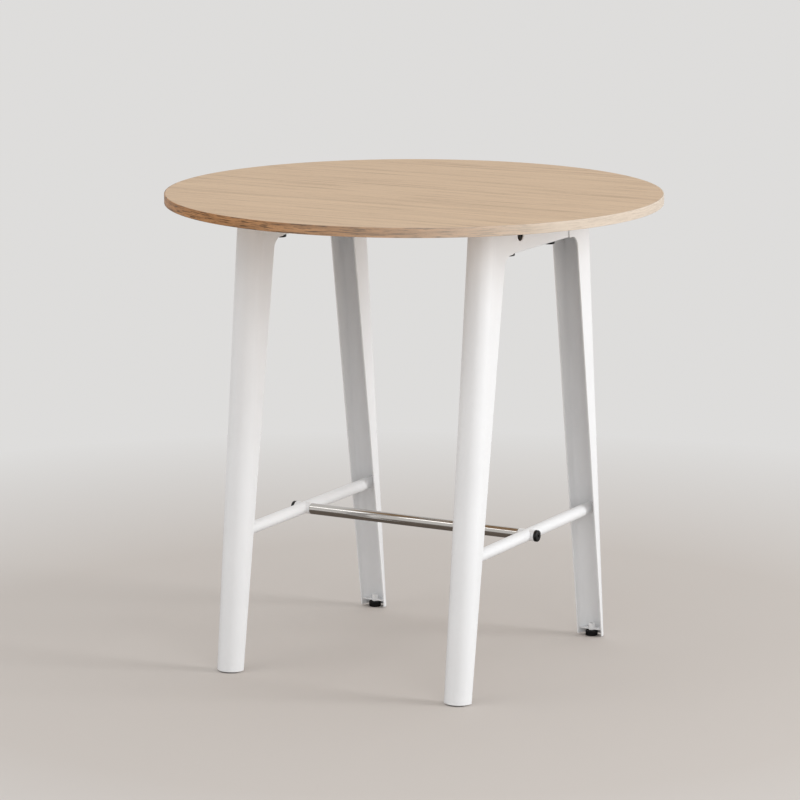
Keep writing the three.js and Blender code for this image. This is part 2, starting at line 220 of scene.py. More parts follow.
def verts_of(geom):
    """The vertices in an operator's result."""
    return [item for item in geom if isinstance(item, bmesh.types.BMVert)]


def edges_of(geom):
    """The edges in an operator's result."""
    return [item for item in geom if isinstance(item, bmesh.types.BMEdge)]


def pull(bm, edges, move=(0, 0, 0), widen=1.0, about=(0, 0, 0)):
    """Extrude edges, then widen the new ones in X and Y and move them. Returns the new edges."""
    made = bmesh.ops.extrude_edge_only(bm, edges=edges)["geom"]
    points = verts_of(made)
    middle = Matrix.Translation(-Vector(about))
    bmesh.ops.scale(bm, vec=(widen, widen, 1), space=middle, verts=points)
    bmesh.ops.translate(bm, vec=move, verts=points)
    fresh = set(points)
    return [edge for edge in edges_of(made) if fresh.issuperset(edge.verts)]


def circle(bm, radius, matrix=None, segments=64):
    """A ring of edges in the XY plane of the matrix."""
    made = bmesh.ops.create_circle(
        bm, cap_ends=False, segments=segments, radius=radius, matrix=matrix or Matrix())
    ring = set(made["verts"])
    return [edge for edge in bm.edges if ring.issuperset(edge.verts)]


def hexagon(bm, flats, height, segments):
    """A ring of edges around a hexagon with flats that face Y, cut into as many edges as asked."""
    corner = flats / math.sqrt(3)
    flats_to_y = Matrix.Rotation(math.pi / 6, 4, "Z")
    edges = circle(bm, corner, Matrix.Translation((0, 0, height)) @ flats_to_y, segments=6)
    cuts = segments // 6 - 1
    bmesh.ops.subdivide_edges(bm, edges=edges, cuts=cuts)
    return [edge for edge in bm.edges if edge.is_wire]


def round_off(bm, edges, radius, segments):
    """Bevel edges to a round of this radius."""
    bmesh.ops.bevel(
        bm, geom=edges, offset=radius, offset_type="OFFSET", affect="EDGES", segments=segments,
        profile=0.5, material=-1, clamp_overlap=True)


def sharp_edges(bm, least=math.radians(50)):
    """Edges where two faces meet at more than this angle."""
    return [edge for edge in bm.edges if len(edge.link_faces) == 2 and edge.calc_face_angle() > least]


def close_up(bm):
    """Merge doubles and turn all faces outwards."""
    bmesh.ops.remove_doubles(bm, verts=bm.verts, dist=MERGE_DISTANCE)
    bmesh.ops.recalc_face_normals(bm, faces=bm.faces)


def turned(profile, segments, closed=False):
    """A lathe form about Z from a line of (radius, height) points."""
    bm = bmesh.new()
    points = [bm.verts.new((radius, 0, height)) for radius, height in profile]
    pairs = list(zip(points, points[1:]))
    if closed:
        pairs.append((points[-1], points[0]))
    edges = [bm.edges.new(pair) for pair in pairs]
    bmesh.ops.spin(
        bm, geom=points + edges, cent=(0, 0, 0), axis=(0, 0, 1), dvec=(0, 0, 0), angle=math.tau,
        steps=segments, use_merge=True)
    close_up(bm)
    return bm


def thicken(bm, wall):
    """Give a sheet its thickness, on the side away from its normals."""
    bmesh.ops.solidify(bm, geom=bm.faces[:], thickness=wall)


def place(bm, turn=0.0, move=(0, 0, 0)):
    """Turn a whole mesh about Z, then move it."""
    matrix = Matrix.Translation(move) @ Matrix.Rotation(turn, 4, "Z")
    bmesh.ops.transform(bm, matrix=matrix, verts=bm.verts)


def add_piece(bm, name, finish, nodes, body="table"):
    """Turn a mesh into a piece that rides on a body and stands for CAD nodes."""
    mesh = bpy.data.meshes.new(name)
    bm.to_mesh(mesh)
    bm.free()
    mesh.shade_smooth()
    mesh.set_sharp_from_angle(angle=SMOOTH_ANGLE)
    mesh.materials.append(finish)
    piece = bpy.data.objects.new(name, mesh)
    bpy.context.scene.collection.objects.link(piece)
    even = piece.modifiers.new("even_normals", "WEIGHTED_NORMAL")
    even.keep_sharp = True
    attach(piece, body)
    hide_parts(*nodes)
    return piece


# Shader helpers


class Sheet:
    """Adds nodes to a tree. An input is a plain value or another node's output."""

    def __init__(self, tree):
        self.tree = tree

    def add(self, kind, inputs=None, **choices):
        node = self.tree.nodes.new(kind)
        for name, value in choices.items():
            setattr(node, name, value)
        for name, value in (inputs or {}).items():
            if isinstance(value, bpy.types.NodeSocket):
                self.tree.links.new(value, node.inputs[name])
            else:
                node.inputs[name].default_value = value
        return node

    def math(self, operation, first, second=0.0):
        return self.add("ShaderNodeMath", {0: first, 1: second}, operation=operation).outputs[0]

    def ramp(self, value, low, high, to_low=0.0, to_high=1.0):
        inputs = {"Value": value, "From Min": low, "From Max": high, "To Min": to_low, "To Max": to_high}
        return self.add("ShaderNodeMapRange", inputs).outputs[0]

    def blend(self, factor, first, second):
        return self.add("ShaderNodeMix", {0: factor, 6: first, 7: second}, data_type="RGBA").outputs[2]

    def stretch(self, vector, scale):
        return self.add("ShaderNodeMapping", {"Vector": vector, "Scale": scale}).outputs[0]

    def noise(self, vector, scale=1.0, detail=2.0, roughness=0.5):
        inputs = {"Vector": vector, "Scale": scale, "Detail": detail, "Roughness": roughness}
        return self.add("ShaderNodeTexNoise", inputs).outputs[0]

    def place(self):
        return self.add("ShaderNodeTexCoord").outputs["Object"]


def new_group(name, inputs, outputs):
    """An empty shader node group with named sockets. Returns its sheet, inputs and output node."""
    tree = bpy.data.node_groups.new(name, "ShaderNodeTree")
    for label, kind in inputs:
        tree.interface.new_socket(label, in_out="INPUT", socket_type=kind)
    for label, kind in outputs:
        tree.interface.new_socket(label, in_out="OUTPUT", socket_type=kind)
    entry = tree.nodes.new("NodeGroupInput")
    leave = tree.nodes.new("NodeGroupOutput")
    return Sheet(tree), entry.outputs, leave


def put_out(sheet, leave, **values):
    """Link a group's results to its output sockets, named with spaces for underscores."""
    for name, socket in values.items():
        sheet.tree.links.new(socket, leave.inputs[name.replace("_", " ")])


def oak_group():
    """Oak figure on a vector in metres whose X runs along the grain."""
    sheet, entry, leave = new_group(
        "oak_figure",
        [("Grain", "NodeSocketVector"), ("Light", "NodeSocketColor"), ("Dark", "NodeSocketColor"),
         ("Pore", "NodeSocketColor"), ("Contrast", "NodeSocketFloat")],
        [("Color", "NodeSocketColor"), ("Roughness", "NodeSocketFloat"), ("Height", "NodeSocketFloat")])
    grain = entry["Grain"]
    sway = sheet.noise(sheet.stretch(grain, (0.9, 2.4, 2.4)), detail=1.0)
    shift = sheet.math("MULTIPLY", sheet.math("SUBTRACT", sway, 0.5), 0.05)
    offset = sheet.add("ShaderNodeCombineXYZ", {"Y": shift}).outputs[0]
    bent = sheet.add("ShaderNodeVectorMath", {0: grain, 1: offset}, operation="ADD").outputs[0]
    bands = sheet.noise(sheet.stretch(bent, (0.7, 22, 22)), detail=3.0, roughness=0.6)
    lines = sheet.noise(sheet.stretch(bent, (3.2, 90, 90)), detail=4.0, roughness=0.68)
    fibres = sheet.noise(sheet.stretch(bent, (30, 1100, 1100)), detail=2.0)
    pore_field = sheet.noise(sheet.stretch(bent, (70, 2300, 2300)), detail=1.0)
    band_mask = sheet.ramp(bands, 0.4, 0.64)
    line_mask = sheet.ramp(lines, 0.51, 0.69)
    early = sheet.math("MULTIPLY", band_mask, 0.16)
    late = sheet.math("MULTIPLY", line_mask, 0.7)
    fine = sheet.math("MULTIPLY", sheet.ramp(fibres, 0.3, 0.7), 0.16)
    figure = sheet.math("ADD", sheet.math("ADD", early, late), fine)
    wood = sheet.blend(sheet.math("MULTIPLY", figure, entry["Contrast"]), entry["Light"], entry["Dark"])
    pores = sheet.math("MULTIPLY", sheet.ramp(pore_field, 0.6, 0.72), sheet.ramp(lines, 0.35, 0.6, 0.25, 1.0))
    pore_tone = sheet.math("MULTIPLY", pores, 0.55)
    put_out(
        sheet, leave,
        Color=sheet.blend(pore_tone, wood, entry["Pore"]),
        Roughness=sheet.ramp(pores, 0.0, 1.0, 0.46, 0.66),
        Height=sheet.math("SUBTRACT", sheet.math("MULTIPLY", fibres, 0.25), pores))
    return sheet.tree


def peel_group():
    """Fine dimples and a faint change of tone, as on powder coat and moulded plastic."""
    sheet, entry, leave = new_group(
        "coat_peel",
        [("Place", "NodeSocketVector"), ("Scale", "NodeSocketFloat"), ("Roughness", "NodeSocketFloat")],
        [("Tone", "NodeSocketFloat"), ("Roughness", "NodeSocketFloat"), ("Height", "NodeSocketFloat")])
    dimples = sheet.add(
        "ShaderNodeTexNoise", {"Vector": entry["Place"], "Scale": entry["Scale"], "Detail": 2.0}).outputs[0]
    clouds = sheet.noise(entry["Place"], scale=9.0, detail=3.0)
    smudge = sheet.ramp(sheet.noise(entry["Place"], scale=26.0, detail=4.0), 0.45, 0.7, -0.03, 0.06)
    put_out(
        sheet, leave,
        Tone=sheet.ramp(clouds, 0.3, 0.7),
        Roughness=sheet.math("ADD", entry["Roughness"], smudge),
        Height=dimples)
    return sheet.tree


def drawn_group():
    """Hairlines along X and faint stains, as on drawn and polished metal."""
    sheet, entry, leave = new_group(
        "drawn_metal",
        [("Place", "NodeSocketVector"), ("Roughness", "NodeSocketFloat")],
        [("Tone", "NodeSocketFloat"), ("Roughness", "NodeSocketFloat"), ("Height", "NodeSocketFloat")])
    hairs = sheet.noise(sheet.stretch(entry["Place"], (14, 2600, 2600)), detail=3.0, roughness=0.6)
    stains = sheet.noise(sheet.stretch(entry["Place"], (5, 30, 30)), detail=3.0)
    rough = sheet.math("ADD", entry["Roughness"], sheet.ramp(hairs, 0.3, 0.7, -0.03, 0.05))
    put_out(
        sheet, leave,
        Tone=sheet.ramp(stains, 0.3, 0.7),
        Roughness=sheet.math("ADD", rough, sheet.ramp(stains, 0.4, 0.7, 0.0, 0.04)),
        Height=hairs)
    return sheet.tree


def shared_group(name, make):
    """The node group of this name, made once."""
    return bpy.data.node_groups.get(name) or make()


def new_material(name):
    """A material with an empty sheet and a shader. Returns the material, its sheet and the shader."""
    material = bpy.data.materials.new(name)
    material.use_nodes = True
    tree = material.node_tree
    tree.nodes.clear()
    sheet = Sheet(tree)
    shader = sheet.add("ShaderNodeBsdfPrincipled")
    output = sheet.add("ShaderNodeOutputMaterial")
    tree.links.new(shader.outputs[0], output.inputs["Surface"])
    return material, sheet, shader


def dress(sheet, shader, base, roughness, height, depth, metallic=0.0):
    """Link colour, roughness and a bump of this depth in metres to the shader."""
    bump = sheet.add("ShaderNodeBump", {"Strength": 1.0, "Distance": depth, "Height": height}).outputs[0]
    shader.inputs["Metallic"].default_value = metallic
    sheet.tree.links.new(base, shader.inputs["Base Color"])
    sheet.tree.links.new(roughness, shader.inputs["Roughness"])
    sheet.tree.links.new(bump, shader.inputs["Normal"])


def rgba(shade, strength=1.0):
    """A colour setting as a socket value, made lighter or darker."""
    return tuple(min(1.0, part * strength) for part in shade) + (1.0,)


def oak_material(name, make_inputs, specular):
    """Oak whose figure takes its inputs from a function of the sheet."""
    material, sheet, shader = new_material(name)
    figure = sheet.add("ShaderNodeGroup", make_inputs(sheet), node_tree=shared_group("oak_figure", oak_group))
    dress(sheet, shader, figure.outputs["Color"], figure.outputs["Roughness"], figure.outputs["Height"], 0.00006)
    shader.inputs["Specular IOR Level"].default_value = specular
    return material


def face_oak(sheet):
    """Figure of the face, with its grain along X."""
    tone = settings().finish
    return {"Grain": sheet.place(), "Light": rgba(tone.oak_light), "Dark": rgba(tone.oak_dark),
            "Pore": rgba(tone.oak_pore), "Contrast": 0.8}


def rim_oak(sheet):
    """Figure of the edge band, with its grain along the rim, on a ground of painted light and shade: pale on the side
    turned to the key light, slowly darkening to painted shade on the side turned away.
    """
    tone = settings().finish
    split = sheet.add("ShaderNodeSeparateXYZ", {0: sheet.place()}).outputs
    towards_front = sheet.math("MULTIPLY", split["Y"], -1.0)
    angle = sheet.math("ARCTAN2", split["X"], towards_front)
    along = sheet.math("MULTIPLY", angle, BAND_HIGH.x)
    strip = sheet.add("ShaderNodeCombineXYZ", {"X": along, "Y": split["Z"], "Z": 0.0}).outputs[0]
    # Painted shade: the ground and its streaks darken with the cosine of the turn from the darkest angle, which faces
    # away from the key light.
    swing = sheet.math("COSINE", sheet.math("SUBTRACT", angle, tone.edge_painted_shade_angle))
    shade = sheet.ramp(swing, -0.02, 1.0)
    return {"Grain": sheet.stretch(strip, RIM_FIGURE),
            "Light": sheet.blend(shade, rgba(tone.edge_wood_painted_lit), rgba(tone.edge_wood_painted_shade)),
            "Dark": sheet.blend(shade, rgba(tone.edge_wood_painted_lit, 0.82), rgba(tone.edge_wood_painted_shade, 0.2)),
            "Pore": rgba(tone.oak_pore), "Contrast": 2.4}


def peel_material(name, shade, darker, scale, roughness, depth, specular=0.38):
    """A coat or plastic with fine dimples. Its tone runs from the shade to a slightly darker one."""
    material, sheet, shader = new_material(name)
    peel = sheet.add("ShaderNodeGroup", node_tree=shared_group("coat_peel", peel_group))
    sheet.tree.links.new(sheet.place(), peel.inputs["Place"])
    peel.inputs["Scale"].default_value = scale
    peel.inputs["Roughness"].default_value = roughness
    base = sheet.blend(peel.outputs["Tone"], rgba(shade), rgba(shade, darker))
    dress(sheet, shader, base, peel.outputs["Roughness"], peel.outputs["Height"], depth)
    shader.inputs["Specular IOR Level"].default_value = specular
    return material


def drawn_material(name, shade, darker, roughness, depth):
    """Bare metal with hairlines along X."""
    material, sheet, shader = new_material(name)
    drawn = sheet.add("ShaderNodeGroup", node_tree=shared_group("drawn_metal", drawn_group))
    sheet.tree.links.new(sheet.place(), drawn.inputs["Place"])
    drawn.inputs["Roughness"].default_value = roughness
    base = sheet.blend(drawn.outputs["Tone"], rgba(shade), rgba(shade, darker))
    dress(sheet, shader, base, drawn.outputs["Roughness"], drawn.outputs["Height"], depth, metallic=1.0)
    return material


def board_material(name, shade):
    """Pressed chips of the top's core."""
    material, sheet, shader = new_material(name)
    chips = sheet.add("ShaderNodeTexVoronoi", {"Vector": sheet.stretch(sheet.place(), (1, 1, 3)), "Scale": 260.0})
    tone = sheet.add("ShaderNodeSeparateColor", {0: chips.outputs["Color"]}).outputs[0]
    base = sheet.blend(tone, rgba(shade, 1.2), rgba(shade, 0.7))
    dress(sheet, shader, base, sheet.ramp(tone, 0, 1, 0.75, 0.9), chips.outputs["Distance"], 0.0002)
    return material


def make_finish(slot, name):
    """A new material of this name for a record slot."""
    tone = settings().finish
    if slot == "oak_veneer":
        return oak_material(name, face_oak, specular=0.2)
    if slot == "oak_edge":
        return oak_material(name, rim_oak, specular=0.15)
    if slot == "core_board":
        return board_material(name, tone.board)
    if slot == "stainless":
        return drawn_material(name, tone.stainless, darker=0.93, roughness=0.08, depth=0.000001)
    if slot == "zinc_steel":
        return drawn_material(name, tone.zinc, darker=0.85, roughness=0.32, depth=0.000004)
    if slot == "black_steel":
        return peel_material(name, tone.black_coat, darker=0.7, scale=1400.0, roughness=0.34, depth=0.00001)
    if slot == "black_plastic":
        return peel_material(
            name, tone.black_plastic, darker=0.7, scale=1900.0, roughness=0.5, depth=0.00002, specular=0.18)
    return peel_material(name, tone.coat, darker=0.97, scale=850.0, roughness=0.36, depth=0.000016)


def finish(slot):
    """The finished material of a record slot, made once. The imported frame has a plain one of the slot's own name."""
    name = "finished_" + slot
    return bpy.data.materials.get(name) or make_finish(slot, name)


# Piece shapes, each made at the right rear corner or about the Z axis


def rear_leg(steel):
    """One folded leg of the rear pair, on the plane X = 0."""
    bm = bmesh.new()
    foot = LEG_LOW.z
    top = LEG_HIGH.z
    arm_foot = RAIL_LOW.z
    axis = LEG_HIGH.y - LEG_RADIUS
    rise = Vector((0, -steel.back_lean * (top - foot), top - foot))
    mouth_foot = min(steel.mouth_at_floor - steel.mouth_lean * foot, axis - steel.sheet_arris)
    mouth_top = steel.mouth_at_floor - steel.mouth_lean * arm_foot
    seam = bm.verts.new((LEG_RADIUS, axis, foot))
    bmesh.ops.spin(
        bm, geom=[seam], cent=(0, axis, foot), axis=(0, 0, 1), angle=math.pi / 2, steps=steel.round_steps)
    pull(bm, bm.edges[:], move=rise)
    seam_top = min(bm.verts, key=lambda vert: (vert.co - seam.co - rise).length)
    mouth = [bm.verts.new((LEG_RADIUS, y, z)) for y, z in ((mouth_foot, foot), (mouth_top, arm_foot))]
    arm = [bm.verts.new((LEG_RADIUS, LEG_LOW.y, z)) for z in (arm_foot, top)]
    bm.faces.new([seam, *mouth, *arm, seam_top])
    corner_angle = math.pi / 2 + math.atan(steel.mouth_lean)
    for corner, radius, angle in (
            (mouth[1], steel.arm_fillet, corner_angle), (arm[0], steel.arm_corner, math.pi / 2)):
        bmesh.ops.bevel(
            bm, geom=[corner], offset=radius / math.tan(angle / 2), offset_type="OFFSET", affect="VERTICES",
            segments=steel.round_steps // 2, profile=0.5, material=-1)
    bmesh.ops.mirror(bm, geom=bm.verts[:] + bm.edges[:] + bm.faces[:], axis="X", merge_dist=MERGE_DISTANCE)
    close_up(bm)
    thicken(bm, steel.sheet)
    round_off(bm, sharp_edges(bm), steel.sheet_arris, 2)
    return bm


def panel(bm, outline, holes, normal):
    """A flat sheet inside an outline of edges, with round holes."""
    bmesh.ops.triangle_fill(bm, use_beauty=True, use_dissolve=False, edges=outline + holes, normal=normal)


def rail(steel):
    """The folded channel under the top, on the plane X = 0, with its access and screw holes."""
    bm = bmesh.new()
    half_width = (RAIL_HIGH.x - RAIL_LOW.x) / 2
    half_length = RAIL_HIGH.y
    bend = steel.rail_bend
    hole_height = (RAIL_LOW.z + RAIL_HIGH.z) / 2
    for side in SIDES.values():
        wall = [bm.verts.new((side * half_width, y, RAIL_LOW.z + bend)) for y in (-half_length, half_length)]
        fold = bm.edges.new(wall)
        upper = pull(bm, [fold], move=(0, 0, RAIL_HIGH.z - RAIL_LOW.z - bend))
        outline = edges_of_wall(bm, upper[0])
        holes = []
        for end in ENDS.values():
            sideways = Matrix.Translation((side * half_width, end * BOLT_Y, hole_height)) @ Matrix.Rotation(
                math.pi / 2, 4, "Y")
            holes += circle(bm, steel.access_hole, sideways, segments=steel.round_steps * 4)
        panel(bm, outline, holes, (side, 0, 0))
        bmesh.ops.spin(
            bm, geom=wall + [fold], cent=(side * (half_width - bend), 0, RAIL_LOW.z + bend), axis=(0, 1, 0),
            angle=side * math.pi / 2, steps=steel.round_steps // 3)
    floor = [edge for edge in bm.edges if edge.is_boundary and all(
        abs(vert.co.z - RAIL_LOW.z) < MERGE_DISTANCE for vert in edge.verts)]
    corners = [vert for edge in floor for vert in edge.verts]
    ends = []
    for y in (-half_length, half_length):
        pair = [vert for vert in corners if abs(vert.co.y - y) < MERGE_DISTANCE]
        ends.append(bm.edges.new(pair))
    holes = []
    for end in ENDS.values():
        holes += circle(
            bm, steel.screw_hole, Matrix.Translation((0, end * BOLT_Y, RAIL_LOW.z)), segments=steel.round_steps * 2)
    panel(bm, floor + ends, holes, (0, 0, -1))
    close_up(bm)
    thicken(bm, steel.sheet)
    round_off(bm, sharp_edges(bm), steel.sheet_arris / 2, 2)
    return bm


def edges_of_wall(bm, upper):
    """The four outer edges of a wall that was pulled up from one edge, with the wall's face taken out."""
    face = upper.link_faces[0]
    outline = list(face.edges)
    bmesh.ops.delete(bm, geom=[face], context="FACES_ONLY")
    return outline


def tube(radius, wall, low, high, segments):
    """A tube along X."""
    bm = bmesh.new()
    start = Matrix.Translation((low, 0, 0)) @ Matrix.Rotation(math.pi / 2, 4, "Y")
    ring = circle(bm, radius, start, segments)
    pull(bm, ring, move=(high - low, 0, 0))
    close_up(bm)
    point_out(bm)
    thicken(bm, wall)
    return bm


def point_out(bm):
    """Turn the faces of an open tube along X away from its axis."""
    for face in bm.faces:
        middle = face.calc_center_median()
        if face.normal.dot(Vector((0, middle.y, middle.z))) < 0:
            face.normal_flip()


def screw(screw_size, head_radius, shank_length, segments=48):
    """A flat round head with a hex socket, facing down from Z = 0, on a shank that goes up."""
    bm = bmesh.new()
    rim = hexagon(bm, screw_size.socket_flats, -screw_size.head_height, segments)
    pull_in = pull(bm, rim, move=(0, 0, screw_size.socket_depth))
    bmesh.ops.edgeloop_fill(bm, edges=pull_in)
    face_ring = circle(bm, head_radius, Matrix.Translation((0, 0, -screw_size.head_height)), segments)
    bmesh.ops.bridge_loops(bm, edges=rim + face_ring)
    under = pull(bm, face_ring, move=(0, 0, screw_size.head_height))
    neck = pull(bm, under, widen=screw_size.shank / head_radius)
    tip = pull(bm, neck, move=(0, 0, shank_length))
    bmesh.ops.edgeloop_fill(bm, edges=tip)
    close_up(bm)
    low = -screw_size.head_height
    outer = [edge for edge in sharp_edges(bm) if all(
        abs(vert.co.z - low) < MERGE_DISTANCE and vert.co.xy.length > head_radius * 0.9 for vert in edge.verts)]
    round_off(bm, outer, screw_size.head_edge, 6)
    round_off(bm, sharp_edges(bm), screw_size.nut_edge / 2, 2)
    return bm


# Operators


class TABLE_OT_top(bpy.types.Operator):
    """Make the oak face, the backing veneer and the edge band of the round top"""

    bl_idname = "standing_table.make_top"
    bl_label = "Round top"

    def execute(self, context):
        top = settings().top
        radius = TOP_HIGH.x
        layers = (("oak_face", "top_veneer", TOP_LOW.z, TOP_HIGH.z),
                  ("oak_backing", "bottom_veneer", BACKING_LOW.z, BACKING_HIGH.z))
        for name, node, low, high in layers:
            sheet = turned([(0, low), (radius, low), (radius, high), (0, high)], top.segments)
            add_piece(sheet, name, finish("oak_veneer"), [node])
        inner = radius + top.seam
        ring = [(inner, BAND_LOW.z), (BAND_HIGH.x, BAND_LOW.z), (BAND_HIGH.x, BAND_HIGH.z), (inner, BAND_HIGH.z)]
        band = turned(ring, top.segments, closed=True)
        rim = [edge for edge in sharp_edges(band) if all(
            vert.co.xy.length > inner + top.arris / 2 for vert in edge.verts)]
        round_off(band, rim, top.arris, 5)
        add_piece(band, "oak_rim", finish("oak_edge"), ["edge_band"])
        return {"FINISHED"}


class TABLE_OT_legs(bpy.types.Operator):
    """Make the four folded steel legs"""

    bl_idname = "standing_table.make_legs"
    bl_label = "Legs"

    def execute(self, context):
        for side, end in CORNERS:
            leg = rear_leg(settings().steel)
            place(leg, turn=0 if end == "rear" else math.pi, move=(SIDES[side] * TRESTLE_X, 0, 0))
            add_piece(leg, f"{side}_{end}_leg", finish("white_coat"), [f"leg_{side}_{end}"])
        return {"FINISHED"}


class TABLE_OT_rails(bpy.types.Operator):
    """Make the two folded rails that carry the top"""

    bl_idname = "standing_table.make_rails"
    bl_label = "Rails"

    def execute(self, context):
        for side in SIDES:
            channel = rail(settings().steel)
            place(channel, move=(SIDES[side] * TRESTLE_X, 0, 0))
            add_piece(channel, f"{side}_rail", finish("white_coat"), [f"rail_{side}"])
        return {"FINISHED"}


class TABLE_OT_stretchers(bpy.types.Operator):
    """Make the white stretcher tubes and the collars on them"""

    bl_idname = "standing_table.make_stretchers"
    bl_label = "Stretchers and collars"

    def execute(self, context):
        steel = settings().steel
        radius = (STRETCHER_HIGH.x - STRETCHER_LOW.x) / 2
        axis = LEG_HIGH.y - LEG_RADIUS - steel.back_lean * (BAR_AXIS.z - LEG_LOW.z)
        channel = LEG_RADIUS - steel.sheet
        for side, way in SIDES.items():
            bm = tube(radius, steel.tube_wall, -1, 1, steel.round_steps * 4)
            place(bm, turn=math.pi / 2)
            for vert in bm.verts:
                reach = axis - steel.back_lean * vert.co.z + math.sqrt(channel ** 2 - vert.co.x ** 2)
                vert.co.y = math.copysign(reach, vert.co.y)
            place(bm, move=(way * TRESTLE_X, 0, BAR_AXIS.z))
            add_piece(bm, f"{side}_stretcher", finish("white_coat"), [f"stretcher_{side}"])
            self.collars(steel, side, way, radius)
        return {"FINISHED"}

    def collars(self, steel, side, way, seat):
        """The two collars of one stretcher, cut to sit on its round."""
        radius = (OUTER_COLLAR_HIGH.z - OUTER_COLLAR_LOW.z) / 2
        reach = OUTER_COLLAR_HIGH.x - TRESTLE_X
        for name, away in (("outer", way), ("inner", -way)):
            bm = tube(radius, radius - steel.screw_hole, 0, reach, steel.round_steps * 4)
            for vert in bm.verts:
                if vert.co.x < reach / 2:
                    vert.co.x = math.sqrt(seat ** 2 - vert.co.z ** 2)
            ends = [edge for edge in sharp_edges(bm) if all(vert.co.x > reach * 0.9 for vert in edge.verts)]
            round_off(bm, ends, steel.sheet_arris, 2)
            place(bm, turn=0 if away > 0 else math.pi, move=(way * TRESTLE_X, 0, BAR_AXIS.z))
            add_piece(bm, f"{side}_{name}_collar", finish("white_coat"), [f"collar_{side}_{name}"])


class TABLE_OT_bar(bpy.types.Operator):
    """Make the stainless cross bar"""

    bl_idname = "standing_table.make_bar"
    bl_label = "Cross bar"

    def execute(self, context):
        steel = settings().steel
        bm = tube((BAR_HIGH.z - BAR_LOW.z) / 2, steel.tube_wall, BAR_LOW.x, BAR_HIGH.x, steel.round_steps * 4)
        round_off(bm, sharp_edges(bm), steel.sheet_arris, 3)
        place(bm, move=BAR_AXIS)
        add_piece(bm, "stainless_bar", finish("stainless"), ["cross_bar"])
        return {"FINISHED"}


class TABLE_OT_screws(bpy.types.Operator):
    """Make the black screws at the bar's ends and under the rails, with their washers"""

    bl_idname = "standing_table.make_screws"
    bl_label = "Screws and washers"

    def execute(self, context):
        size = settings().screw
        head = (BOLT_HIGH.x - BOLT_LOW.x) / 2
        for side, way in SIDES.items():
            bm = screw(size, head, BAR_SCREW_HIGH.x - size.head_height - BAR_SCREW_LOW.x)
            sideways = Matrix.Rotation(-way * math.pi / 2, 4, "Y")
            seat = Vector((way * (BAR_SCREW_HIGH.x - size.head_height), 0, BAR_AXIS.z))
            bmesh.ops.transform(bm, matrix=Matrix.Translation(seat) @ sideways, verts=bm.verts)
            add_piece(bm, f"{side}_bar_cap_screw", finish("black_steel"), [f"bar_screw_{side}"])
        washer_radius = (WASHER_HIGH.x - WASHER_LOW.x) / 2
        for side, end in CORNERS:
            spot = Vector((SIDES[side] * TRESTLE_X, ENDS[end] * BOLT_Y, BOLT_LOW.z + size.head_height))
            bm = screw(size, head, BOLT_HIGH.z - spot.z)
            place(bm, move=spot)
            add_piece(bm, f"{side}_{end}_top_screw", finish("black_steel"), [f"top_bolt_{side}_{end}"])
            hole = settings().steel.screw_hole
            ring = [(hole, WASHER_LOW.z), (washer_radius, WASHER_LOW.z),
                    (washer_radius, WASHER_HIGH.z), (hole, WASHER_HIGH.z)]
            bm = turned(ring, 64, closed=True)
            round_off(bm, sharp_edges(bm), size.nut_edge / 2, 2)
            place(bm, move=(spot.x, spot.y, 0))
            add_piece(
                bm, f"{side}_{end}_washer", finish("black_steel"), [f"top_bolt_washer_{side}_{end}"])
        return {"FINISHED"}


